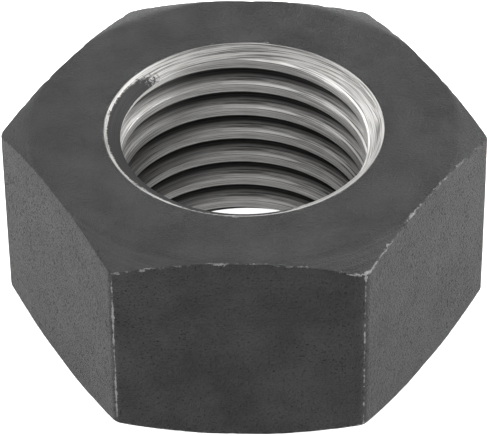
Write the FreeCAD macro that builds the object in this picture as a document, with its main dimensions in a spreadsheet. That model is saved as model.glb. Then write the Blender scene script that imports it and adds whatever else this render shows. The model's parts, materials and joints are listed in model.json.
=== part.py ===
"""Hexagon nut with a coarse metric thread: one forged, drilled, chamfered and tapped piece of steel.

The origin is the middle of the bottom face, +Z runs up the thread's axis, two opposite
corners of the hexagon lie on the X axis and two opposite flats face along Y.
"""

import FreeCAD, Part
import math
import os
import Sketcher

# Every size that a maker sets by itself: alias, value, meaning. Lengths in mm, angles in degrees.
SIZES = (
    ("across_flats", 55.0, "width between two opposite flats"),
    ("nut_height", 28.6, "from the bottom face to the top face"),
    ("corner_radius", 1.6, "rounding of the six upright corners"),
    ("face_allowance", 0.4, "how much wider than the flats the round end face is"),
    ("chamfer_angle", 24.0, "slope of the corner chamfer, from the end face"),
    ("thread_diameter", 36.0, "major diameter of the thread, at the bottom of its groove"),
    ("thread_pitch", 4.0, "rise of the thread in one turn"),
    ("flank_angle", 60.0, "angle between the two flanks of the groove"),
    ("entry_angle", 39.0, "where the groove's middle crosses the bottom face, from +X towards +Y"),
    ("groove_overcut", 0.2, "how far the groove's section reaches inside the drilled core"),
    ("countersink_allowance", 0.5, "how much wider than the thread the countersink's mouth is"),
    ("countersink_angle", 120.0, "angle across the countersink's cone"),
)

# Sizes that follow from those by rule, as expressions on the sheet.
CORNER_CIRCLE_RADIUS = "(sizes.across_flats / 2 / cos(30))"
FACE_RADIUS = "((sizes.across_flats + sizes.face_allowance) / 2)"
GROOVE_RADIUS = "(sizes.thread_diameter / 2)"
CORE_RADIUS = "((sizes.thread_diameter - sizes.thread_pitch) / 2)"
ROOT_FLAT = "(sizes.thread_pitch / 8)"
COUNTERSINK_RADIUS = "((sizes.thread_diameter + sizes.countersink_allowance) / 2)"
BOTTOM = "0"
TOP = "sizes.nut_height"
ON_AXIS = "0"

SIDES = 6
CORE_WALLS = 4
FULL_TURN = 2 * math.pi
UP = FreeCAD.Vector(0, 0, 1)
CENTRE = FreeCAD.Vector(0, 0, 0)
UPRIGHT_TOLERANCE = 1e-6
LEAST_CUT = 1.0

# How a sketch names its own origin and axes, and the points of an edge.
ORIGIN_POINT = (-1, 1)
ACROSS_AXIS = -1
UPRIGHT_AXIS = -2
START = 1
END = 2
MIDDLE = 3


def make_sizes(document):
    """Keep the driving dimensions in a sheet, one named cell each."""
    sheet = document.addObject("Spreadsheet::Sheet", "sizes")
    for row, (alias, value, meaning) in enumerate(SIZES, start=1):
        sheet.set(f"A{row}", alias)
        sheet.set(f"B{row}", str(value))
        sheet.set(f"C{row}", meaning)
        sheet.setAlias(f"B{row}", alias)
    document.recompute()


def new_sketch(body, name, plane):
    """A sketch lying on one of its own body's origin planes."""
    sketch = body.newObject("Sketcher::SketchObject", name)
    planes = [item for item in body.Origin.OriginFeatures if item.Role == plane]
    sketch.AttachmentSupport = (planes[0], [""])
    sketch.MapMode = "FlatFace"
    return sketch


def bind(sketch, expression, kind, *geometry):
    """Add a dimension to a sketch and tie it to the sheet."""
    guess = sketch.evalExpression(expression)
    index = sketch.addConstraint(Sketcher.Constraint(kind, *geometry, guess))
    sketch.setExpression(f"Constraints[{index}]", expression)


def place_corner(sketch, line, across, up):
    """Hold the start of a line at its distance from the axis and its height above the bottom face."""
    for kind, axis, expression in (
        ("DistanceX", UPRIGHT_AXIS, across),
        ("DistanceY", ACROSS_AXIS, up),
    ):
        if expression == "0":
            sketch.addConstraint(Sketcher.Constraint("PointOnObject", line, START, axis))
        else:
            bind(sketch, expression, kind, *ORIGIN_POINT, line, START)


def draw_outline(sketch, corners):
    """Draw straight sides round a list of corners, each one a pair of expressions."""
    points = [
        FreeCAD.Vector(sketch.evalExpression(across), sketch.evalExpression(up), 0)
        for across, up in corners
    ]
    lines = [
        sketch.addGeometry(Part.LineSegment(start, end), False)
        for start, end in zip(points, points[1:] + points[:1])
    ]
    for line, following in zip(lines, lines[1:] + lines[:1]):
        sketch.addConstraint(Sketcher.Constraint("Coincident", line, END, following, START))
    for line, (across, up) in zip(lines, corners):
        place_corner(sketch, line, across, up)


def draw_hexagon(sketch):
    """A regular hexagon inside a construction circle, with its first corner on +X."""
    radius = sketch.evalExpression(CORNER_CIRCLE_RADIUS)
    turns = [FULL_TURN * side / SIDES for side in range(SIDES)]
    points = [FreeCAD.Vector(radius * math.cos(turn), radius * math.sin(turn), 0) for turn in turns]
    sides = [
        sketch.addGeometry(Part.LineSegment(start, end), False)
        for start, end in zip(points, points[1:] + points[:1])
    ]
    circle = sketch.addGeometry(Part.Circle(CENTRE, UP, radius), True)
    sketch.addConstraint(Sketcher.Constraint("Coincident", circle, MIDDLE, *ORIGIN_POINT))
    bind(sketch, CORNER_CIRCLE_RADIUS, "Radius", circle)
    for side, following in zip(sides, sides[1:] + sides[:1]):
        sketch.addConstraint(Sketcher.Constraint("Coincident", side, END, following, START))
        sketch.addConstraint(Sketcher.Constraint("PointOnObject", side, START, circle))
    for side in sides[1:]:
        sketch.addConstraint(Sketcher.Constraint("Equal", sides[0], side))
    sketch.addConstraint(Sketcher.Constraint("PointOnObject", sides[0], START, ACROSS_AXIS))


def draw_core(sketch):
    """The drilled core as four equal arcs that meet on the axes."""
    circle = Part.Circle(CENTRE, UP, sketch.evalExpression(CORE_RADIUS))
    sweep = FULL_TURN / CORE_WALLS
    arcs = [
        sketch.addGeometry(Part.ArcOfCircle(circle, wall * sweep, (wall + 1) * sweep), False)
        for wall in range(CORE_WALLS)
    ]
    bind(sketch, CORE_RADIUS, "Radius", arcs[0])
    for arc, following in zip(arcs, arcs[1:] + arcs[:1]):
        axis = ACROSS_AXIS if arc % 2 == 0 else UPRIGHT_AXIS
        sketch.addConstraint(Sketcher.Constraint("Coincident", arc, MIDDLE, *ORIGIN_POINT))
        sketch.addConstraint(Sketcher.Constraint("PointOnObject", arc, START, axis))
        sketch.addConstraint(Sketcher.Constraint("Coincident", arc, END, following, START))


def is_upright(edge):
    """True for a straight edge along the thread's axis."""
    return edge.tangentAt(edge.FirstParameter).cross(UP).Length < UPRIGHT_TOLERANCE


def add_blank(body):
    """The hexagonal blank, from the bottom face up, with its upright corners rounded."""
    sketch = new_sketch(body, "hexagon", "XY_Plane")
    draw_hexagon(sketch)
    blank = body.newObject("PartDesign::Pad", "blank")
    blank.Profile = sketch
    blank.setExpression("Length", TOP)
    body.Document.recompute()
    upright = [f"Edge{n}" for n, edge in enumerate(blank.Shape.Edges, start=1) if is_upright(edge)]
    rounded = body.newObject("PartDesign::Fillet", "rounded_corners")
    rounded.Base = (blank, upright)
    rounded.setExpression("Radius", "sizes.corner_radius")
    return rounded


def add_groove(body, name, outlines):
    """Turn closed outlines about the thread's axis and cut them away."""
    sketch = new_sketch(body, f"{name}_outline", "XZ_Plane")
    for corners in outlines:
        draw_outline(sketch, corners)
    groove = body.newObject("PartDesign::Groove", name)
    groove.Profile = sketch
    groove.ReferenceAxis = (sketch, ["V_Axis"])
    groove.Angle = 360
    groove.Refine = False
    return groove


def add_corner_chamfers(body):
    """Both ends are turned to a shallow cone, which leaves a round face inside the corners."""
    outside = f"({CORNER_CIRCLE_RADIUS} + sizes.corner_radius)"
    drop = f"(({outside} - {FACE_RADIUS}) * tan(sizes.chamfer_angle))"
    upper = [(FACE_RADIUS, TOP), (outside, TOP), (outside, f"{TOP} - {drop}")]
    lower = [(FACE_RADIUS, BOTTOM), (outside, BOTTOM), (outside, drop)]
    return add_groove(body, "corner_chamfers", [upper, lower])


def add_core(body):
    """The core is drilled right through, upwards from the bottom face."""
    sketch = new_sketch(body, "core_circle", "XY_Plane")
    draw_core(sketch)
    core = body.newObject("PartDesign::Pocket", "core")
    core.Profile = sketch
    core.Type = "ThroughAll"
    core.Reversed = True
    core.Refine = False
    return core


def add_countersinks(body):
    """A cone at each mouth of the core, a little wider than the thread."""
    depth = f"({COUNTERSINK_RADIUS} / tan(sizes.countersink_angle / 2))"
    upper = [(ON_AXIS, TOP), (COUNTERSINK_RADIUS, TOP), (ON_AXIS, f"{TOP} - {depth}")]
    lower = [(ON_AXIS, BOTTOM), (COUNTERSINK_RADIUS, BOTTOM), (ON_AXIS, depth)]
    return add_groove(body, "countersinks", [upper, lower])


def add_thread(body):
    """The tapped groove, swept up a right-hand helix from below the nut to above it."""
    mouth_radius = f"({CORE_RADIUS} - sizes.groove_overcut)"
    flank_rise = f"(({GROOVE_RADIUS} - {mouth_radius}) * tan(sizes.flank_angle / 2))"
    middle = "(0 - sizes.thread_pitch * (1 + sizes.entry_angle / 360))"
    half_root = f"({ROOT_FLAT} / 2)"
    half_mouth = f"({half_root} + {flank_rise})"
    sketch = new_sketch(body, "groove_section", "XZ_Plane")
    section = [
        (mouth_radius, f"{middle} - {half_mouth}"),
        (GROOVE_RADIUS, f"{middle} - {half_root}"),
        (GROOVE_RADIUS, f"{middle} + {half_root}"),
        (mouth_radius, f"{middle} + {half_mouth}"),
    ]
    draw_outline(sketch, section)
    thread = body.newObject("PartDesign::SubtractiveHelix", "thread")
    thread.Profile = sketch
    thread.ReferenceAxis = (sketch, ["V_Axis"])
    thread.Mode = "pitch-height-angle"
    thread.setExpression("Pitch", "sizes.thread_pitch")
    thread.setExpression("Height", f"{TOP} + 2 * sizes.thread_pitch")
    thread.LeftHanded = False
    thread.Reversed = False
    thread.Refine = False
    return thread


def checked_cut(document, before, feature):
    """Recompute, and make sure that the feature took material away."""
    document.recompute()
    removed = before.Shape.Volume - feature.Shape.Volume
    if removed < LEAST_CUT:
        raise RuntimeError(f"{feature.Label} removed only {removed:.3f} cubic mm")
    return feature


def make_hex_nut(document):
    """The whole nut, in the order in which it is made."""
    body = document.addObject("PartDesign::Body", "hex_nut")
    body.Label = "hex_nut"
    body.Placement = FreeCAD.Placement()
    stage = add_blank(body)
    document.recompute()
    for add_cut in (add_corner_chamfers, add_core, add_countersinks, add_thread):
        stage = checked_cut(document, stage, add_cut(body))
    return body


def check_model(document, sub_parts):
    """Write nothing if a feature failed, a sketch is loose or a solid is bad."""
    for item in document.Objects:
        if {"Invalid", "Error"} & set(item.State):
            raise RuntimeError(f"{item.Label} is {item.State}")
        if item.isDerivedFrom("Sketcher::SketchObject") and not item.FullyConstrained:
            raise RuntimeError(f"{item.Label} is not fully constrained")
    for sub_part in sub_parts:
        shape = sub_part.Shape
        if shape.isNull() or not shape.isValid() or len(shape.Solids) != 1:
            raise RuntimeError(f"{sub_part.Label} is not one valid solid")


def write_sub_part(sub_part):
    """One STEP file for each node, with its size printed for the record."""
    sub_part.Shape.exportStep(f"parts/{sub_part.Label}.step")
    box = sub_part.Shape.optimalBoundingBox(False)
    size = f"{box.XLength:.3f} x {box.YLength:.3f} x {box.ZLength:.3f} mm"
    print(f"{sub_part.Label}: {size}, {sub_part.Shape.Volume:.1f} cubic mm")


def main():
    """Build the document, check it, then write the parts."""
    document = FreeCAD.newDocument("hexagon_nut")
    make_sizes(document)
    sub_parts = [make_hex_nut(document)]
    check_model(document, sub_parts)
    os.makedirs("parts", exist_ok=True)
    for sub_part in sub_parts:
        write_sub_part(sub_part)


main()
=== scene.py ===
"""Looks for a large blackened steel hexagon nut whose thread was tapped afterwards and is bare.

Laid out as an add-on: sizes and colours in property groups, one operator for the nut, one for
the stage, and a panel that lists them. Everything is in metres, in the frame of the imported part:
the bottom face lies on z = 0, the thread's axis is Z, and two opposite corners lie on X.
"""

import json
import math

import bmesh
import bpy
import numpy as np
from bpy.props import FloatProperty, FloatVectorProperty, IntProperty, PointerProperty
from mathutils import Matrix, Vector, noise


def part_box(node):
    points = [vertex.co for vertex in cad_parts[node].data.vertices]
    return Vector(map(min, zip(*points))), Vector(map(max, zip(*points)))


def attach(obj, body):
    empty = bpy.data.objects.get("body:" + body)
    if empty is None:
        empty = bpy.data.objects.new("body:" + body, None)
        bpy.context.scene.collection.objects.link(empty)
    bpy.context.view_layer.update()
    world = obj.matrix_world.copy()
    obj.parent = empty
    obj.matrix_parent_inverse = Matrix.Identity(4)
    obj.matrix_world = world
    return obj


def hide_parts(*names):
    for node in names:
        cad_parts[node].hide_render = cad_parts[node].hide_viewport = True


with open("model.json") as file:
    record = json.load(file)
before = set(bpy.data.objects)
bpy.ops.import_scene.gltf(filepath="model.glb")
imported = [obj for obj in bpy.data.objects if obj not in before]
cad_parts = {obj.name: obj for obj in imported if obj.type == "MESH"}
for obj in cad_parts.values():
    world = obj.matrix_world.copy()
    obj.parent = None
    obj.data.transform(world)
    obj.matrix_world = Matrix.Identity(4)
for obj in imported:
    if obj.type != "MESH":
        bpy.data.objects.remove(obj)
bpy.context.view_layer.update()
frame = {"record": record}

bl_info = {
    "name": "Hexagon nut",
    "version": (1, 0, 0),
    "blender": (4, 5, 0),
    "location": "View3D > Sidebar > Nut",
    "description": "Builds a blackened hexagon nut with a bare tapped thread, and its stage",
    "category": "Object",
}

MM = 0.001
NODE = "hex_nut"
PIECE = "blackened_hex_nut"
LOW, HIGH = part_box(NODE)
THREAD = next(mount for mount in frame["record"]["mounts"] if mount["name"] == "thread")
CREST_RADIUS = THREAD["dims"]["r_mm"] * MM
CREST_HEIGHT = THREAD["dims"]["length_mm"] * MM
SIDES = 6
HALF_SIDE = math.pi / SIDES
FULL_TURN = 2 * math.pi
WEAR_SPAN = 4 * MM

# The bake map is a square with a gap round its edge. The skin's flats and the bore are strips that
# run the whole way across, given by their low and high sides, and the two faces are round islands.
MAP_SIDE = 200 * MM
MAP_GAP = 3 * MM
FLATS_STRIP = (4 * MM, 36 * MM)
BORE_STRIP = (112 * MM, 196 * MM)
TOP_ISLAND = (36 * MM, 74 * MM)
BOTTOM_ISLAND = (110 * MM, 74 * MM)


def linear(code):
    """An sRGB hex colour such as "#4a4a4a" as the linear numbers that shaders take."""
    shares = [int(code[start:start + 2], 16) / 255 for start in (1, 3, 5)]
    return [s / 12.92 if s <= 0.04045 else ((s + 0.055) / 1.055) ** 2.4 for s in shares]


def length(name, about, default):
    """A property that holds a length."""
    return FloatProperty(name=name, description=about, default=default, unit="LENGTH", precision=5)


def angle(name, about, degrees):
    """A property that holds an angle."""
    return FloatProperty(name=name, description=about, default=math.radians(degrees), subtype="ANGLE")


def colour(name, about, code):
    """A property that holds a colour, from its sRGB hex code."""
    return FloatVectorProperty(
        name=name, description=about, default=linear(code), subtype="COLOR", min=0, max=1
    )


def share(name, about, default):
    """A property that holds a share, from nothing to all of it."""
    return FloatProperty(name=name, description=about, default=default, min=0, max=1, subtype="FACTOR")


class NutSizes(bpy.types.PropertyGroup):
    """Sizes of the nut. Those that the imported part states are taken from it."""

    flats_width: length("Across flats", "Width between two opposite flats", HIGH.y - LOW.y)
    corners_width: length("Across corners", "Width over the rounded corners", HIGH.x - LOW.x)
    height: length("Height", "From the bottom face to the top face", HIGH.z - LOW.z)
    crest_radius: length("Crest radius", "Drilled core, which the crests keep", CREST_RADIUS)
    crest_height: length("Crested length", "Wall between the countersinks", CREST_HEIGHT)
    groove_radius: length("Groove radius", "Bottom of the thread's groove", 18.0 * MM)
    rim_radius: length("Rim radius", "Mouth of the countersink", 18.25 * MM)
    pitch: length("Pitch", "Rise of the thread in one turn", 4.0 * MM)
    flank_angle: angle("Flank angle", "Angle between the groove's two flanks", 60)
    entry_angle: angle("Entry angle", "Where the groove crosses the bottom face", 39)
    face_radius: length("Face radius", "Where the corner chamfer starts", 27.7 * MM)
    chamfer_angle: angle("Chamfer angle", "Slope of the corner chamfer", 24)
    face_blend: length("Chamfer blend", "Rounding between the face and the corner chamfer", 9 * MM)
    edge_radius: length("Edge rounding", "Least rounding of the outer edges", 0.16 * MM)
    chip_depth: length("Edge chips", "How deep the worst knocks on the edges are", 0.13 * MM)
    forge_wave: length("Forged unevenness", "How far the flats wander inwards", 0.05 * MM)
    edge_knocks: FloatVectorProperty(
        name="Edge knocks", description="Wear of each flat's edges, round from the right-hand corner",
        default=(0.6, 0.5, 0.6, 0.3, 0.8, 0.95), size=SIDES, min=0, max=2,
    )
    corner_knocks: FloatVectorProperty(
        name="Corner knocks", description="Wear of each corner, round from the right-hand one",
        default=(0.6, 0.7, 0.6, 0.6, 1.05, 0.85), size=SIDES, min=0, max=2,
    )
    rim_knock: share("Rim knocks", "Wear of the countersink's rims", 0.6)
    dented_corner: angle("Dented corner", "Where a blow has worn the edges more", 300)
    # The side of the countersink that is given the oxide's colour.
    oxide_coloured_side: angle("Untouched side", "Where the countersink keeps its black oxide", 216)
    columns: IntProperty(name="Columns", description="Steps round the thread", default=300, min=60)


class NutFinish(bpy.types.PropertyGroup):
    """Colours and surface of the nut's two finishes."""

    oxide_colour: colour("Blackening", "Black oxide on forged steel", "#393939")
    oxide_stain: colour("Stain", "Darker, oilier patches of the blackening", "#191919")
    turned_colour: colour("Turned chamfer", "Oxide over the chamfer's turned rings", "#3a3a3b")
    # In the bore this colour is also painted shade, in the thread's roots and lower down the bore.
    pit_and_shade_colour: colour("Pit", "Bottoms of pits and of the thread, full of oil", "#191919")
    worn_colour: colour("Worn edge", "Steel showing where edges have rubbed", "#757575")
    cut_colour: colour("Cut steel", "Bare steel in the thread", "#bab9b7")
    cut_shadow: colour("Tool line", "Torn steel and oil in the tool's lines", "#5b5a59")
    oxide_metal: share("Blackening metal", "How far the oxide still shines as metal", 0.85)
    oxide_roughness: share("Blackening roughness", "Matte of the black oxide", 0.5)
    cut_roughness: share("Cut roughness", "Sheen of the cut steel", 0.5)


class StageSettings(bpy.types.PropertyGroup):
    """Camera, lights and floor."""

    azimuth: angle("Azimuth", "How far round to the right the camera stands", 1.88)
    elevation: angle("Elevation", "How far above the horizon the camera stands", 39.57)
    roll: angle("Roll", "Tilt of the camera about its own line of sight", -0.68)
    distance: length("Distance", "From the camera to the middle of the nut", 460.2 * MM)
    lens: FloatProperty(name="Lens", description="Focal length on a 36 mm sensor", default=258.4)
    aim_right: length("Aim across", "How far right of the nut's middle it aims", -0.18 * MM)
    aim_up: length("Aim up", "How far above the nut's middle it aims", -0.82 * MM)
    floor_colour: colour("Floor", "Frosted table", "#c8c8c8")
    floor_glow: FloatProperty(name="Floor glow", description="Light from under the table", default=1.0)
    tent: FloatProperty(name="Tent", description="Brightness of the white all round", default=0.47)
    overhead: FloatProperty(name="Overhead", description="Power of the soft light above", default=3.0)
    back: FloatProperty(name="Back", description="Power of the soft light behind", default=1.2)
    left: FloatProperty(name="Left", description="Power of the soft light on the left", default=13.0)
    right: FloatProperty(name="Right", description="Power of the soft light on the right", default=20.8)


# ---------------------------------------------------------------- the nut's shape


def turn_angles(count):
    """Angles round the nut, closer together at the six corners than along the flats."""
    crowding = 0.5
    per_side = count // SIDES
    steps = np.arange(per_side) / per_side
    within = steps - crowding * np.sin(FULL_TURN * steps) / FULL_TURN
    sides = np.arange(SIDES)[:, None] + within[None, :]
    return sides.ravel() * 2 * HALF_SIDE


def halved(angles):
    """The same angles with one more in the middle of each step."""
    following = np.append(angles[1:], FULL_TURN)
    return np.stack([angles, (angles + following) / 2], 1).ravel()


def outline_radius(angles, flat, corner):
    """Radius of a hexagon with rounded corners; flat and corner are its least and greatest radii."""
    rounding = (flat / math.cos(HALF_SIDE) - corner) / (1 / math.cos(HALF_SIDE) - 1)
    centre = corner - rounding
    off = np.abs((angles + HALF_SIDE) % (2 * HALF_SIDE) - HALF_SIDE)
    touch = math.atan2(rounding * math.sin(HALF_SIDE), centre + rounding * math.cos(HALF_SIDE))
    straight = flat / np.cos(HALF_SIDE - off)
    inside = np.maximum(rounding**2 - (centre * np.sin(off)) ** 2, 0)
    rounded = centre * np.cos(off) + np.sqrt(inside)
    return np.where(off < touch, rounded, straight)


def rounded_path(points, radii, arc_steps, run_steps):
    """Rows of (radius, height) along a path of corners, each corner rounded by a radius of its own.

    points is a list of arrays of shape (columns, 2); the ends aren't rounded. A rounding takes up
    at most a share of the shorter run beside it. Returns the rows and, for each rounded corner, the
    number of the row at its middle.
    """
    most_of_run = 0.45
    rows, middles = [points[0]], []
    leave = points[0]
    last = len(points) - 1
    for number in range(1, last):
        before, here, after = points[number - 1], points[number], points[number + 1]
        back, ahead = before - here, after - here
        back_length = np.linalg.norm(back, axis=1, keepdims=True)
        ahead_length = np.linalg.norm(ahead, axis=1, keepdims=True)
        back, ahead = back / back_length, ahead / ahead_length
        half_turn = (math.pi - np.arccos(np.clip((back * ahead).sum(1), -1, 1))) / 2
        reach = (radii[number - 1] * np.tan(half_turn))[:, None]
        reach = np.minimum(reach, most_of_run * np.minimum(back_length, ahead_length))
        enter, exit_point = here + back * reach, here + ahead * reach
        rows += [leave + (enter - leave) * part for part in graded(run_steps[number - 1])[:-1]]
        arc = arc_steps[number - 1]
        for step in range(arc + 1):
            t = step / arc
            rows.append((1 - t) ** 2 * enter + 2 * t * (1 - t) * here + t**2 * exit_point)
        middles.append(len(rows) - 1 - arc // 2)
        leave = exit_point
    rows += [leave + (points[last] - leave) * part for part in graded(run_steps[last - 1])]
    return np.array(rows), middles


def graded(steps):
    """Shares of a run, closer together towards its ends."""
    return [(1 - math.cos(math.pi * step / steps)) / 2 for step in range(1, steps + 1)]


def rough(points, grain, seed):
    """Fractal noise from about -1 to 1 at each point, with features of the given size."""
    smoothness, finer, octaves = 0.8, 2.1, 4
    shift = Vector((seed * 7.13, seed * 3.71, seed * 5.39))
    return np.array([
        noise.fractal(Vector(point) / grain + shift, smoothness, finer, octaves) for point in points
    ])


def ring_points(angles, radius, level):
    """Points on a ring, for reading noise."""
    z = np.full_like(angles, level)
    return np.stack([radius * np.cos(angles), radius * np.sin(angles), z], 1)


def outer_rows(sizes, angles):
    """The blackened skin, from just inside the top rim over the flats to just inside the bottom rim."""
    face_margin, rim_rounding = 0.35 * MM, 0.3 * MM
    chip_size, least_chip, chip_shape = 1.6 * MM, 0.1, 1.5
    top, flat, corner = sizes.height, sizes.flats_width / 2, sizes.corners_width / 2
    outline = outline_radius(angles, flat, corner)
    slope = math.tan(sizes.chamfer_angle)
    drop = np.maximum(outline - sizes.face_radius, 0) * slope
    face = np.minimum(sizes.face_radius, outline - face_margin)
    rim = np.full_like(angles, sizes.rim_radius)
    seam_radius, seam_depth = seam(sizes)
    seam_ring = np.full_like(angles, seam_radius)
    none = np.zeros_like(angles)
    points = [
        np.stack([seam_ring, none + top - seam_depth], 1),
        np.stack([rim, none + top], 1),
        np.stack([face, none + top], 1),
        np.stack([outline, top - drop], 1),
        np.stack([outline, drop], 1),
        np.stack([face, none], 1),
        np.stack([rim, none], 1),
        np.stack([seam_ring, none + seam_depth], 1),
    ]
    radii = [none + rim_rounding, none + sizes.face_blend]
    for seed, level in ((1, top), (2, 0.0)):
        ring = ring_points(angles, outline, level)
        chips = np.clip(rough(ring, chip_size, seed) - least_chip, 0, 1) ** chip_shape
        radii.append(sizes.edge_radius + 2 * sizes.chip_depth * chips)
    radii += [none + sizes.face_blend, none + rim_rounding]
    arc_steps = [2, 4, 6, 6, 4, 2]
    run_steps = [1, 10, 6, 15, 6, 10, 1]
    return rounded_path(points, radii, arc_steps, run_steps)


def seam(sizes):
    """Where the bare bore meets the skin: a ring on the countersink, just wider than the thread."""
    radius = (sizes.groove_radius + sizes.rim_radius) / 2
    return radius, (sizes.rim_radius - radius) * countersink_slope(sizes)


def countersink_slope(sizes):
    """Depth of the countersink for each unit of radius."""
    depth = (sizes.height - sizes.crest_height) / 2
    return depth / (sizes.rim_radius - sizes.crest_radius)


def thread_section(sizes):
    """One pitch of the thread as (height, radius) points, from the middle of a groove upwards."""
    pitch, root, crest = sizes.pitch, sizes.groove_radius, sizes.crest_radius
    half_root = pitch / 16
    half_mouth = half_root + (root - crest) * math.tan(sizes.flank_angle / 2)
    corners = [
        (0, root), (half_root, root), (half_mouth, crest),
        (pitch - half_mouth, crest), (pitch - half_root, root), (pitch, root),
    ]
    points = [np.array([[radius, height]]) for height, radius in corners]
    root_rounding, crest_rounding = np.array([0.25 * MM]), np.array([0.14 * MM])
    radii = [root_rounding, crest_rounding, crest_rounding, root_rounding]
    arc_steps, run_steps = [2, 3, 3, 2], [1, 4, 3, 4, 1]
    rows, _ = rounded_path(points, radii, arc_steps, run_steps)
    return rows[:-1, 0, ::-1]


def bore_rows(sizes, angles):
    """The bare wall of the bore: thread, run-outs and countersinks, up from the bottom seam.

    Each row follows the helix. Where the thread crosses a countersink, the nearest row is moved
    onto the crossing, so that the run-out has a clean edge. Returns the rows, which points are
    moved, and how many rows one turn of the helix climbs.
    """
    section = thread_section(sizes)
    turns = math.ceil(sizes.height / sizes.pitch) + 2
    start = -sizes.pitch * (sizes.entry_angle / FULL_TURN + 1)
    lift = sizes.pitch * angles / FULL_TURN
    heights = np.concatenate([section[:, 0] + turn * sizes.pitch for turn in range(turns)]) + start
    radii = np.tile(section[:, 1], turns)
    z = heights[:, None] + lift[None, :]
    r = np.repeat(radii[:, None], len(angles), 1)
    slope = countersink_slope(sizes)

    def cone(level):
        depth = np.minimum(level, sizes.height - level)
        return sizes.rim_radius - depth / slope

    gap = r - cone(z)
    moved = np.zeros_like(z, bool)
    crossing = (gap[:-1] * gap[1:] < 0) & (z[:-1] > 0) & (z[1:] < sizes.height)
    for row, column in zip(*np.nonzero(crossing)):
        low, high = gap[row, column], gap[row + 1, column]
        part = low / (low - high)
        target = row if part < 0.5 else row + 1
        level = z[row, column] + part * (z[row + 1, column] - z[row, column])
        if not moved[target, column]:
            z[target, column] = level
            r[target, column] = cone(level)
            moved[target, column] = True
    r = np.maximum(r, cone(z))
    seam_radius, seam_depth = seam(sizes)
    ceiling = sizes.height - seam_depth
    for beyond, level in ((z < seam_depth, seam_depth), (z > ceiling, ceiling)):
        z[beyond] = level
        r[beyond] = seam_radius
    return np.stack([r, z], 2), moved, len(section)


def grid_faces(rows, columns, moved=None, climb=0):
    """Faces of a grid that closes on itself round the nut, climb rows further up.

    Returns the vertex numbers of each face and, for the bake map, the (row, column) of its corners.
    """
    faces, places = [], []
    for row in range(rows - 1):
        for column in range(columns):
            last = column == columns - 1
            following, up = (0, climb) if last else (column + 1, 0)
            if row + 1 + up >= rows:
                continue
            here = [(row, column), (row + up, following), (row + 1 + up, following), (row + 1, column)]
            flat = [(row, column), (row, column + 1), (row + 1, column + 1), (row + 1, column)]
            shapes = [(0, 1, 2, 3)]
            if moved is not None:
                crossing = [moved[spot] for spot in here]
                if crossing[0] and crossing[2]:
                    shapes = [(0, 1, 2), (0, 2, 3)]
                elif crossing[1] and crossing[3]:
                    shapes = [(0, 1, 3), (1, 2, 3)]
            for shape in shapes:
                faces.append([here[k][0] * columns + here[k][1] for k in shape])
                places.append([flat[k] for k in shape])
    return faces, places


def placed(rows, angles):
    """Grid rows of (radius, height) as points in space."""
    r, z = rows[:, :, 0], rows[:, :, 1]
    return np.stack([r * np.cos(angles), r * np.sin(angles), z], 2).reshape(-1, 3)


def path_lengths(rows):
    """How far each grid point is along its column."""
    steps = np.linalg.norm(np.diff(rows, axis=0), axis=2)
    return np.vstack([np.zeros(rows.shape[1]), np.cumsum(steps, 0)])


def nearness(along, row, reach):
    """1 on a row, falling to 0 at a given distance from it along each column."""
    return np.clip(1 - np.abs(along - along[row]) / reach, 0, 1)


def strip_places(along, angles, low, high):
    """A strip of the bake map that runs the whole way round, between two heights on the map."""
    span = np.append(angles, FULL_TURN) / FULL_TURN
    across = MAP_GAP + span * (MAP_SIDE - 2 * MAP_GAP)
    scale = (high - low) / (along.max() - along.min())
    full = np.hstack([along, along[:, :1]])
    up = low + (full - along.min()) * scale
    return np.stack([np.broadcast_to(across, up.shape), up], 2) / MAP_SIDE


def disc_places(along, angles, inner, centre):
    """A round island of the bake map: distance along the column becomes distance from its centre."""
    wide = np.hstack([along, along[:, :1]]) + inner
    turn = np.append(angles, FULL_TURN)
    x = centre[0] + wide * np.cos(turn)
    y = centre[1] + wide * np.sin(turn)
    return np.stack([x, y], 2) / MAP_SIDE


def mesh_from(name, points, faces, corner_places, wear, material):
    """A mesh with its wear attribute, its bake map and one material number."""
    mesh = bpy.data.meshes.new(name)
    mesh.from_pydata(points.tolist(), [], faces)
    layer = mesh.attributes.new("wear", "FLOAT_COLOR", "POINT")
    layer.data.foreach_set("color", wear.astype(np.float32).ravel())
    uv = mesh.uv_layers.new(name="OFBake")
    flat = np.array([place for face in corner_places for place in face], np.float32)
    uv.uv.foreach_set("vector", flat.ravel())
    mesh.polygons.foreach_set("material_index", np.full(len(faces), material, np.int32))
    return mesh


def skin_mesh(sizes, angles):
    """The blackened outside as a mesh, with its wear and its islands on the bake map."""
    rows, middles = outer_rows(sizes, angles)
    _, _, top_edge, bottom_edge, _, _ = middles
    along = path_lengths(rows)
    points = unevened(sizes, placed(rows, angles))
    # The bottom edges met fewer and lighter knocks than the top ones.
    chip_reach, top_share, bottom_share = 0.8 * MM, 1.0, 0.35
    for seed, row, inwards, share_left in (
        (3, top_edge, -1, top_share), (4, bottom_edge, 1, bottom_share)
    ):
        near = share_left * nearness(along, row, chip_reach).ravel()
        points = chipped(sizes, points, near, seed, inwards)
    wear = skin_wear(sizes, rows, along, angles, middles)
    faces, places = grid_faces(len(rows), len(angles))
    strip = strip_places(along[top_edge:bottom_edge + 1], angles, *FLATS_STRIP)
    seam_radius, _ = seam(sizes)
    top = disc_places(along[:top_edge + 1], angles, seam_radius, TOP_ISLAND)
    tail = along[-1] - along[bottom_edge:]
    bottom = disc_places(tail, angles, seam_radius, BOTTOM_ISLAND)
    uvs = []
    for corners in places:
        row = min(r for r, _ in corners)
        if row < top_edge:
            uvs.append([top[r, c] for r, c in corners])
        elif row < bottom_edge:
            uvs.append([strip[r - top_edge, c] for r, c in corners])
        else:
            uvs.append([bottom[r - bottom_edge, c] for r, c in corners])
    return mesh_from("skin", points, faces, uvs, wear.reshape(-1, 4), 0)


def signed(distance):
    """A distance in a colour channel: a half at the line itself, and the whole scale WEAR_SPAN."""
    return np.clip(distance / WEAR_SPAN + 0.5, 0, 1)


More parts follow.
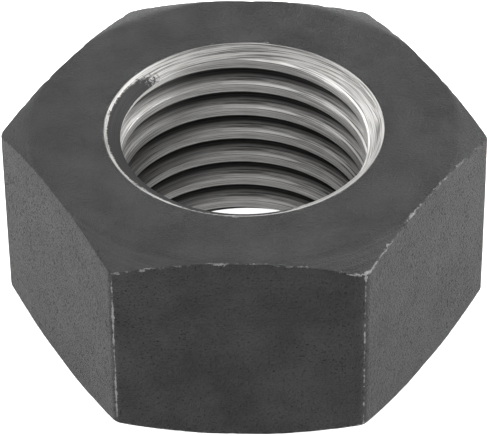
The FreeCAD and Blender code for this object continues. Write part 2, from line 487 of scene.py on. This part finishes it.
def skin_wear(sizes, rows, along, angles, middles):
    """Where the skin is knocked: distance from the edges, the corners and the rims, and how hard."""
    edge_reach, rim_reach = 0.6 * MM, 1.5 * MM
    blow_width, blow_strength = math.radians(4), 0.6
    top_rim, _, top_edge, bottom_edge, _, bottom_rim = middles
    top, bottom = along - along[top_edge], along[bottom_edge] - along
    edge = np.where(np.abs(top) < np.abs(bottom), top, bottom)
    top, bottom = along - along[top_rim], along[bottom_rim] - along
    rim = np.where(np.abs(top) < np.abs(bottom), top, bottom)
    off = (angles + HALF_SIDE) % (2 * HALF_SIDE) - HALF_SIDE
    row = np.arange(len(rows))[:, None]
    upright = (row >= top_edge) & (row <= bottom_edge)
    corner = np.where(upright, (np.abs(off) * sizes.corners_width / 2)[None, :], WEAR_SPAN)
    side = (angles / (2 * HALF_SIDE)).astype(int)
    nearest = ((angles + HALF_SIDE) / (2 * HALF_SIDE)).astype(int) % SIDES
    blow = np.exp(-(((angles - sizes.dented_corner) / blow_width) ** 2))
    edge_knock = np.array(sizes.edge_knocks)[side] + blow_strength * blow
    corner_knock = np.array(sizes.corner_knocks)[nearest]
    knock = np.where(np.abs(edge) < edge_reach, edge_knock, corner_knock)
    knock = np.where(np.abs(rim) < rim_reach, sizes.rim_knock, knock)
    return np.stack([signed(edge), signed(corner), signed(rim), knock], 2)


def chipped(sizes, points, near, seed, inwards):
    """Small knocks near an edge, which only take steel away.

    inwards is the way up or down that leads into the nut: -1 at the top and 1 at the bottom.
    """
    chip_size = 1.3 * MM
    slant = 0.7
    bite = np.clip(rough(points, chip_size, seed), 0, 1) * near * sizes.chip_depth
    radius = np.linalg.norm(points[:, :2], axis=1)
    cut = points.copy()
    cut[:, :2] *= (1 - slant * bite / radius)[:, None]
    cut[:, 2] += inwards * slant * bite
    return cut


def unevened(sizes, points):
    """Forged faces wander a little. They are only ever moved inwards, so the nut's size stays."""
    wave_size, seed, middle = 9 * MM, 5, 0.5
    wall_start, wall_fade = sizes.face_radius * 0.97, 1.5 * MM
    wander = rough(points, wave_size, seed)
    inwards = np.clip(middle + wander, 0, 1) * sizes.forge_wave
    radius = np.linalg.norm(points[:, :2], axis=1)
    wall = np.clip((radius - wall_start) / wall_fade, 0, 1)
    moved = points.copy()
    moved[:, :2] *= (1 - inwards * wall / radius)[:, None]
    return moved


def bore_mesh(sizes, angles):
    """The bare bore as a mesh, its rows collapsed onto the two seams where they run past them."""
    row_gap = 0.05 * MM
    cone_start, cone_blend = 0.15 * MM, 0.1 * MM
    oxide_turn, oxide_fade = 0.1, 0.5
    rim_band, rim_fade = 0.08 * MM, 0.4 * MM
    rows, moved, climb = bore_rows(sizes, angles)
    along = path_lengths(rows)
    points = placed(rows, angles)
    faces, places = grid_faces(len(rows), len(angles), moved, climb)
    steady = np.repeat(np.median(along, axis=1)[:, None], len(angles), 1)
    steady += np.arange(len(rows))[:, None] * row_gap
    strip = strip_places(steady, angles, *BORE_STRIP)
    uvs = [[strip[r, c] for r, c in corners] for corners in places]
    depth = (rows[:, :, 0] - sizes.crest_radius) / (sizes.groove_radius - sizes.crest_radius)
    below = np.minimum(rows[:, :, 1], sizes.height - rows[:, :, 1])
    cone_depth = (sizes.height - sizes.crest_height) / 2
    coned = np.clip((cone_depth + cone_start - below) / cone_blend, 0, 1)
    # The countersink takes the oxide's colour on one side, fading out round the bore.
    side_share = np.clip((np.cos(angles - sizes.oxide_coloured_side) + oxide_turn) / oxide_fade, 0, 1)
    oxide_toned = side_share[None, :] * np.clip((below - rim_band) / rim_fade, 0, 1) * coned
    # The first channel, depth into the groove, darkens the roots in the material: partly oil, partly
    # painted shade.
    wear = np.stack([depth * (1 - coned), coned, oxide_toned, np.ones_like(depth)], 2)
    return mesh_from("bore", points, faces, uvs, wear.reshape(-1, 4), 1)


def joined(skin, bore, name):
    """Weld the two meshes along their seams and turn every face outwards."""
    same_point, same_seam = 0.0005 * MM, 0.002 * MM
    work = bmesh.new()
    work.from_mesh(bore)
    bmesh.ops.remove_doubles(work, verts=work.verts, dist=same_point)
    # The skin has twice as many columns, so each end edge of the bore gets a point in its middle.
    ends = [edge for edge in work.edges if edge.is_boundary]
    cut = bmesh.ops.subdivide_edges(work, edges=ends, cuts=1)
    middles = [item for item in cut["geom_inner"] if isinstance(item, bmesh.types.BMVert)]
    reach = max(math.hypot(*edge.verts[0].co.xy) for edge in work.edges if edge.is_boundary)
    for vertex in middles:
        vertex.co.xy *= reach / math.hypot(*vertex.co.xy)
    work.from_mesh(skin)
    bmesh.ops.remove_doubles(work, verts=work.verts, dist=same_seam)
    bmesh.ops.dissolve_degenerate(work, edges=work.edges, dist=same_point)
    bmesh.ops.recalc_face_normals(work, faces=work.faces)
    mesh = bpy.data.meshes.new(name)
    work.to_mesh(mesh)
    loose = sum(1 for edge in work.edges if not edge.is_manifold)
    work.free()
    if loose:
        raise RuntimeError(f"{name} has {loose} open edges")
    return mesh


# ---------------------------------------------------------------- materials


def add_node(tree, kind, inputs=None, **settings):
    """Add a node. inputs gives its sockets values, or the nodes or outputs that feed them."""
    node = tree.nodes.new("ShaderNode" + kind)
    for name, value in settings.items():
        setattr(node, name, value)
    for socket, value in (inputs or {}).items():
        if isinstance(value, bpy.types.Node):
            value = value.outputs[0]
        if isinstance(value, bpy.types.NodeSocket):
            tree.links.new(value, node.inputs[socket])
        else:
            node.inputs[socket].default_value = value
    return node


def new_material(name):
    """An empty material and its principled shader, joined to the output."""
    material = bpy.data.materials.new(name)
    material.use_nodes = True
    tree = material.node_tree
    tree.nodes.clear()
    shader = add_node(tree, "BsdfPrincipled")
    add_node(tree, "OutputMaterial", {"Surface": shader})
    return material, tree, shader


def per(size):
    """How many features of a size, in millimetres, fit in a metre: the scale of a pattern."""
    return 1 / (size * MM)


def black_oxide_on_forged_steel(finish):
    """Steel forged hot, then blackened in a salt bath.

    The oxide is a thin dark skin over the scale and pits of the forging. The eye gets a charcoal
    matte with a fine grain and dark pits, a soft sheen at a low angle, oily blotches, and bright
    steel in broken lines where the edges have been knocked.
    """
    material, tree, shader = new_material("black_oxide_on_forged_steel")
    shader.inputs["Metallic"].default_value = finish.oxide_metal
    place = add_node(tree, "TexCoord").outputs["Object"]
    wear = add_node(tree, "Attribute", attribute_name="wear")
    knock = wear.outputs["Alpha"]
    edge, corner, rim = add_node(tree, "SeparateColor", {"Color": wear.outputs["Color"]}).outputs

    # Scale left by forging has a grain of about a third of a millimetre.
    grain = add_node(
        tree, "TexNoise", {"Vector": place, "Scale": per(0.3), "Detail": 4.0, "Roughness": 0.75}
    )
    # Pits where scale has come away are about as large, and only the deepest dips of a noise.
    pits = add_node(
        tree, "TexNoise", {"Vector": place, "Scale": per(0.32), "Detail": 3.0, "Roughness": 0.6}
    )
    pits = add_node(
        tree, "MapRange",
        {"Value": pits, "From Min": 0.46, "From Max": 0.3, "To Min": 0.0, "To Max": 0.75},
        interpolation_type="SMOOTHSTEP",
    )
    # The two bearing faces are pressed smoother than the sides.
    facing = add_node(tree, "TexCoord").outputs["Normal"]
    upward = add_node(tree, "SeparateXYZ", {"Vector": facing}).outputs["Z"]
    upward = add_node(tree, "Math", {0: upward}, operation="ABSOLUTE")
    forged = add_node(
        tree, "MapRange",
        {"Value": upward, "From Min": 0.5, "From Max": 1.0, "To Min": 1.0, "To Max": 0.12},
    )
    pits = add_node(tree, "Math", {0: pits, 1: forged}, operation="MULTIPLY")
    # Oil and handling leave soft blotches about five millimetres across, with smaller ones in them.
    blotch = add_node(
        tree, "TexNoise", {"Vector": place, "Scale": per(5.0), "Detail": 5.0, "Roughness": 0.62}
    )
    blotch = add_node(
        tree, "MapRange",
        {"Value": blotch, "From Min": 0.35, "From Max": 0.65, "To Min": -0.9, "To Max": -0.5},
    )
    grain_contrast = 2.4
    mottle = add_node(tree, "Math", {0: grain, 1: grain_contrast, 2: blotch}, operation="MULTIPLY_ADD")

    base = add_node(
        tree, "Mix",
        {"Factor": mottle, 6: (*finish.oxide_stain, 1), 7: (*finish.oxide_colour, 1)},
        data_type="RGBA",
    ).outputs[2]
    base = add_node(
        tree, "Mix",
        {"Factor": pits, 6: base, 7: (*finish.pit_and_shade_colour, 1)},
        data_type="RGBA",
    ).outputs[2]

    # The corner chamfer was turned, so it has rings about a fifth of a millimetre apart.
    flat = add_node(tree, "VectorMath", {0: place, 1: (1, 1, 0)}, operation="MULTIPLY")
    radius = add_node(tree, "VectorMath", {0: flat}, operation="LENGTH").outputs["Value"]
    reached = add_node(tree, "Math", {0: radius, 1: per(0.2)}, operation="MULTIPLY")
    slow = add_node(tree, "VectorMath", {0: flat, "Scale": per(9.0)}, operation="SCALE")
    slow = add_node(tree, "SeparateXYZ", {"Vector": slow}).outputs
    rings = add_node(tree, "CombineXYZ", {"X": reached, "Y": slow["X"], "Z": slow["Y"]})
    rings = add_node(tree, "TexNoise", {"Vector": rings, "Scale": 1.0, "Detail": 2.0, "Roughness": 0.7})
    turned = add_node(tree, "MapRange", {"Value": upward, "From Min": 0.99, "From Max": 0.95})
    sloping = add_node(tree, "MapRange", {"Value": upward, "From Min": 0.6, "From Max": 0.8})
    turned = add_node(tree, "Math", {0: turned, 1: sloping}, operation="MULTIPLY")
    bright = add_node(tree, "MapRange", {"Value": rings, "From Min": 0.2, "From Max": 0.75})
    bright = add_node(tree, "Math", {0: bright, 1: turned}, operation="MULTIPLY")
    base = add_node(
        tree, "Mix",
        {"Factor": bright, 6: base, 7: (*finish.turned_colour, 1)},
        data_type="RGBA",
    ).outputs[2]

    # Knocks bare the steel in ragged lines, mostly under half a millimetre wide, which wander about
    # each edge. A fine noise bends the line, and a slow one makes it wider, thinner or gone.
    most_bend, widest, rarity, knock_share = 1.0 * MM, 1.1 * MM, 0.7, 0.3
    bend = add_node(
        tree, "TexNoise", {"Vector": place, "Scale": per(0.8), "Detail": 6.0, "Roughness": 0.8}
    )
    bend = add_node(
        tree, "MapRange", {"Value": bend, "To Min": -most_bend, "To Max": most_bend}, clamp=False
    )
    patchy = add_node(
        tree, "TexNoise", {"Vector": place, "Scale": per(3.0), "Detail": 6.0, "Roughness": 0.8}
    )
    hard = add_node(tree, "Math", {0: patchy, 1: -rarity}, operation="ADD")
    hard = add_node(tree, "Math", {0: knock, 1: knock_share, 2: hard}, operation="MULTIPLY_ADD")
    width = add_node(tree, "Math", {0: hard, 1: widest}, operation="MULTIPLY")
    bared = None
    edge_wander, corner_wander, rim_wander = 1.0, 0.4, 0.5
    for line, wander in ((edge, edge_wander), (corner, corner_wander), (rim, rim_wander)):
        far = add_node(
            tree, "MapRange", {"Value": line, "To Min": -WEAR_SPAN / 2, "To Max": WEAR_SPAN / 2}
        )
        far = add_node(tree, "Math", {0: bend, 1: -wander, 2: far}, operation="MULTIPLY_ADD")
        if line is not corner:
            far = add_node(tree, "Math", {0: far}, operation="ABSOLUTE")
        inside = add_node(tree, "Math", {0: width, 1: far}, operation="SUBTRACT")
        inside = add_node(tree, "MapRange", {"Value": inside, "From Min": 0.0, "From Max": 0.08 * MM})
        bared = inside if bared is None else add_node(
            tree, "Math", {0: bared, 1: inside}, operation="MAXIMUM"
        )
    base = add_node(
        tree, "Mix",
        {"Factor": bared, 6: base, 7: (*finish.worn_colour, 1)},
        data_type="RGBA",
    ).outputs[2]
    tree.links.new(base, shader.inputs["Base Color"])

    rough = add_node(
        tree, "MapRange",
        {
            "Value": grain,
            "From Min": 0.3,
            "From Max": 0.7,
            "To Min": finish.oxide_roughness - 0.08,
            "To Max": finish.oxide_roughness + 0.12,
        },
    )
    pit_matte, pit_sink, relief = 0.35, -0.8, 0.7 * MM
    rough = add_node(tree, "Math", {0: pits, 1: pit_matte, 2: rough}, operation="MULTIPLY_ADD")
    tree.links.new(rough.outputs[0], shader.inputs["Roughness"])

    height = add_node(tree, "Math", {0: pits, 1: pit_sink, 2: grain}, operation="MULTIPLY_ADD")
    bump = add_node(tree, "Bump", {"Height": height, "Distance": relief, "Strength": 1.0})
    tree.links.new(bump.outputs[0], shader.inputs["Normal"])
    return material


def tapped_bare_steel(finish, sizes):
    """Steel bared by the countersink and the tap after blackening.

    The tap tears fine lines along the thread. They spread a reflection across them, so the eye gets
    bright bands full of streaks on the crests, over dark roots of oil and torn metal, partly
    painted shade. Lower down the bore the colour is darkened as painted shade.
    """
    material, tree, shader = new_material("tapped_bare_steel")
    shader.inputs["Metallic"].default_value = 1.0
    shader.inputs["Anisotropic"].default_value = 0.55
    shader.inputs["Anisotropic Rotation"].default_value = 0.25
    tangent = add_node(tree, "Tangent", direction_type="RADIAL", axis="Z")
    tree.links.new(tangent.outputs[0], shader.inputs["Tangent"])
    place = add_node(tree, "TexCoord").outputs["Object"]
    bore_masks = add_node(tree, "Attribute", attribute_name="wear").outputs["Color"]
    bore_masks = add_node(tree, "SeparateColor", {"Color": bore_masks})
    depth, coned, oxide_toned = bore_masks.outputs
    x, y, z = add_node(tree, "SeparateXYZ", {"Vector": place}).outputs

    # How far through the thread's section a point is, as an angle that a turn of the helix closes.
    around = add_node(tree, "Math", {0: y, 1: x}, operation="ARCTAN2")
    phase = add_node(tree, "Math", {0: z, 1: FULL_TURN / sizes.pitch}, operation="MULTIPLY")
    phase = add_node(tree, "Math", {0: phase, 1: around}, operation="SUBTRACT")
    across = add_node(tree, "Math", {0: phase}, operation="COSINE")
    along = add_node(tree, "Math", {0: phase}, operation="SINE")
    # The torn lines are a tenth of a millimetre apart and run for about ten millimetres.
    line_gap, line_run = 0.1 * MM, 10.0 * MM
    ring = sizes.pitch / (FULL_TURN * line_gap)
    slow = 1 / (ring * line_run)
    slow_x = add_node(tree, "Math", {0: x, 1: slow}, operation="MULTIPLY")
    slow_y = add_node(tree, "Math", {0: y, 1: slow}, operation="MULTIPLY")
    lines = add_node(tree, "CombineXYZ", {"X": across, "Y": along, "Z": slow_x})
    thread = add_node(
        tree, "TexNoise",
        {"Vector": lines, "W": slow_y, "Scale": ring, "Detail": 3.0, "Roughness": 0.75},
        noise_dimensions="4D",
    )
    # The countersink turned its own rings, an eighth of a millimetre apart down the cone, which is
    # 0.06 mm apart in height.
    cone = add_node(tree, "Mapping", {"Vector": place, "Scale": (per(10.0), per(10.0), per(0.06))})
    rings = add_node(tree, "TexNoise", {"Vector": cone, "Scale": 1.0, "Detail": 3.0, "Roughness": 0.75})
    streak = add_node(tree, "Mix", {"Factor": coned, 2: thread, 3: rings})

    tone = add_node(tree, "MapRange", {"Value": streak, "From Min": 0.36, "From Max": 0.56})
    base = add_node(
        tree, "Mix",
        {"Factor": tone, 6: (*finish.cut_shadow, 1), 7: (*finish.cut_colour, 1)},
        data_type="RGBA",
    ).outputs[2]
    # The countersink is duller than the thread. Lower down the bore the colour is darkened: painted shade,
    # as less light reaches there.
    dulled = (0.88, 0.88, 0.88, 1)
    shade_start, shade_full = 23 * MM, 11 * MM
    base = add_node(
        tree, "Mix",
        {"Factor": coned, 6: base, 7: dulled},
        data_type="RGBA", blend_type="MULTIPLY",
    ).outputs[2]
    painted_depth_shade = add_node(
        tree, "MapRange", {"Value": z, "From Min": shade_start, "From Max": shade_full, "To Max": 0.42}
    )
    # The thread's roots are darkened by groove depth: partly oil, partly painted shade under the crests.
    oil_and_shade = add_node(tree, "MapRange", {"Value": depth, "From Min": 0.12, "From Max": 0.75, "To Max": 0.82})
    oil_and_shade = add_node(tree, "Math", {0: oil_and_shade, 1: painted_depth_shade}, operation="MAXIMUM")
    # A few lines were torn deep enough to look black.
    torn = add_node(tree, "MapRange", {"Value": streak, "From Min": 0.38, "From Max": 0.3, "To Max": 0.8})
    oil_and_shade = add_node(tree, "Math", {0: oil_and_shade, 1: torn}, operation="MAXIMUM")
    base = add_node(
        tree, "Mix",
        {"Factor": oil_and_shade, 6: base, 7: (*finish.pit_and_shade_colour, 1)},
        data_type="RGBA",
    ).outputs[2]
    # That side's colour ends raggedly, in flecks of a third of a millimetre.
    flecks = add_node(
        tree, "TexNoise", {"Vector": place, "Scale": per(0.35), "Detail": 3.0, "Roughness": 0.7}
    )
    oxide_toned = add_node(tree, "Math", {0: oxide_toned, 1: flecks}, operation="ADD")
    oxide_toned = add_node(tree, "MapRange", {"Value": oxide_toned, "From Min": 0.98, "From Max": 1.22})
    base = add_node(
        tree, "Mix",
        {"Factor": oxide_toned, 6: base, 7: (*finish.oxide_colour, 1)},
        data_type="RGBA",
    ).outputs[2]
    tree.links.new(base, shader.inputs["Base Color"])
    rough = add_node(
        tree, "MapRange",
        {
            "Value": streak,
            "From Min": 0.3,
            "From Max": 0.7,
            "To Min": finish.cut_roughness + 0.1,
            "To Max": finish.cut_roughness - 0.1,
        },
    )
    cone_matte, line_depth = 0.25, 0.03 * MM
    rough = add_node(tree, "Math", {0: coned, 1: cone_matte, 2: rough}, operation="MULTIPLY_ADD")
    tree.links.new(rough.outputs[0], shader.inputs["Roughness"])
    bump = add_node(tree, "Bump", {"Height": streak, "Distance": line_depth, "Strength": 1.0})
    tree.links.new(bump.outputs[0], shader.inputs["Normal"])
    return material


class HEXNUT_OT_make_nut(bpy.types.Operator):
    """Build the nut: blackened skin, bare thread, worn edges"""

    bl_idname = "hexnut.make_nut"
    bl_label = "Make nut"

    def execute(self, context):
        sizes, finish = context.scene.nut_sizes, context.scene.nut_finish
        angles = turn_angles(sizes.columns)
        mesh = joined(skin_mesh(sizes, halved(angles)), bore_mesh(sizes, angles), PIECE)
        mesh.shade_smooth()
        sharpest_smooth = math.radians(35)
        mesh.set_sharp_from_angle(angle=sharpest_smooth)
        mesh.materials.append(black_oxide_on_forged_steel(finish))
        mesh.materials.append(tapped_bare_steel(finish, sizes))
        nut = bpy.data.objects.new(PIECE, mesh)
        context.scene.collection.objects.link(nut)
        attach(nut, "root")
        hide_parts(NODE)
        return {"FINISHED"}


def add_floor(settings, scene):
    """A wide pale table under the nut."""
    half, gap = 1.5, 0.01 * MM
    mesh = bpy.data.meshes.new("floor")
    corners = [(-half, -half), (half, -half), (half, half), (-half, half)]
    mesh.from_pydata([(x, y, LOW.z - gap) for x, y in corners], [], [(0, 1, 2, 3)])
    # Frosted acrylic lit from below, as product tables are: white, even, and soft in the shadows.
    material, _, shader = new_material("frosted_acrylic")
    shader.inputs["Base Color"].default_value = (*settings.floor_colour, 1)
    shader.inputs["Roughness"].default_value = 0.9
    shader.inputs["Specular IOR Level"].default_value = 0.1
    shader.inputs["Emission Color"].default_value = (1, 1, 1, 1)
    shader.inputs["Emission Strength"].default_value = settings.floor_glow
    mesh.materials.append(material)
    floor = bpy.data.objects.new("floor", mesh)
    scene.collection.objects.link(floor)


def add_soft_light(scene, name, place, width, depth, power):
    """A rectangular softbox that faces the nut."""
    light = bpy.data.lights.new(name, "AREA")
    light.shape = "RECTANGLE"
    light.size, light.size_y = width, depth
    light.energy = power
    lamp = bpy.data.objects.new(name, light)
    lamp.location = place
    lamp.rotation_mode = "QUATERNION"
    towards = Vector((0, 0, HIGH.z / 2)) - Vector(place)
    lamp.rotation_quaternion = towards.to_track_quat("-Z", "Y")
    scene.collection.objects.link(lamp)


def add_camera(settings, scene):
    """A long lens that looks down at the nut."""
    a, e, roll = settings.azimuth, settings.elevation, settings.roll
    back = Vector((math.sin(a) * math.cos(e), -math.cos(a) * math.cos(e), math.sin(e)))
    level = Vector((math.cos(a), math.sin(a), 0))
    upward = back.cross(level)
    right = math.cos(roll) * level + math.sin(roll) * upward
    up = back.cross(right)
    middle = (LOW + HIGH) / 2
    place = middle + back * settings.distance
    target = middle + right * settings.aim_right + up * settings.aim_up
    out = (place - target).normalized()
    right = up.cross(out).normalized()
    up = out.cross(right)
    data = bpy.data.cameras.new("camera")
    data.sensor_width = 36
    data.lens = settings.lens
    data.clip_start, data.clip_end = 0.01, 20
    camera = bpy.data.objects.new("camera", data)
    camera.matrix_world = Matrix.Translation(place) @ Matrix((right, up, out)).transposed().to_4x4()
    scene.collection.objects.link(camera)
    scene.camera = camera


class HEXNUT_OT_make_stage(bpy.types.Operator):
    """Lay the floor, hang the lights and set up the camera"""

    bl_idname = "hexnut.make_stage"
    bl_label = "Make stage"

    def execute(self, context):
        scene, settings = context.scene, context.scene.nut_stage
        add_floor(settings, scene)
        for name, place, width, depth, power in (
            ("overhead_softbox", (-0.1, -0.06, 0.6), 0.9, 0.42, settings.overhead),
            ("back_softbox", (-0.1, 0.38, 0.3), 0.22, 0.22, settings.back),
            ("left_softbox", (-0.8, 0.12, 0.22), 1.2, 0.4, settings.left),
            ("right_softbox", (0.8, 0.12, 0.18), 1.2, 0.34, settings.right),
        ):
            add_soft_light(scene, name, place, width, depth, power)
        world = bpy.data.worlds.new("white_tent")
        world.use_nodes = True
        background = world.node_tree.nodes["Background"]
        background.inputs["Color"].default_value = (1, 1, 1, 1)
        background.inputs["Strength"].default_value = settings.tent
        scene.world = world
        scene.view_settings.view_transform = "Standard"
        add_camera(settings, scene)
        return {"FINISHED"}


class HEXNUT_PT_sidebar(bpy.types.Panel):
    """Lists the nut's operators and what they can change"""

    bl_idname = "HEXNUT_PT_sidebar"
    bl_label = "Hexagon nut"
    bl_space_type = "VIEW_3D"
    bl_region_type = "UI"
    bl_category = "Nut"

    def draw(self, context):
        for operator, group in (
            (HEXNUT_OT_make_nut, context.scene.nut_sizes),
            (HEXNUT_OT_make_nut, context.scene.nut_finish),
            (HEXNUT_OT_make_stage, context.scene.nut_stage),
        ):
            box = self.layout.box()
            box.operator(operator.bl_idname)
            for name in group.__annotations__:
                box.prop(group, name)


CLASSES = (
    NutSizes,
    NutFinish,
    StageSettings,
    HEXNUT_OT_make_nut,
    HEXNUT_OT_make_stage,
    HEXNUT_PT_sidebar,
)
GROUPS = {"nut_sizes": NutSizes, "nut_finish": NutFinish, "nut_stage": StageSettings}


def register():
    """Make the classes and the scene's settings known to Blender."""
    for item in CLASSES:
        bpy.utils.register_class(item)
    for name, group in GROUPS.items():
        setattr(bpy.types.Scene, name, PointerProperty(type=group))


def unregister():
    """Undo register."""
    for name in GROUPS:
        delattr(bpy.types.Scene, name)
    for item in reversed(CLASSES):
        bpy.utils.unregister_class(item)


def main():
    """Build everything."""
    register()
    bpy.ops.hexnut.make_nut()
    bpy.ops.hexnut.make_stage()


if __name__ == "__main__":
    main()
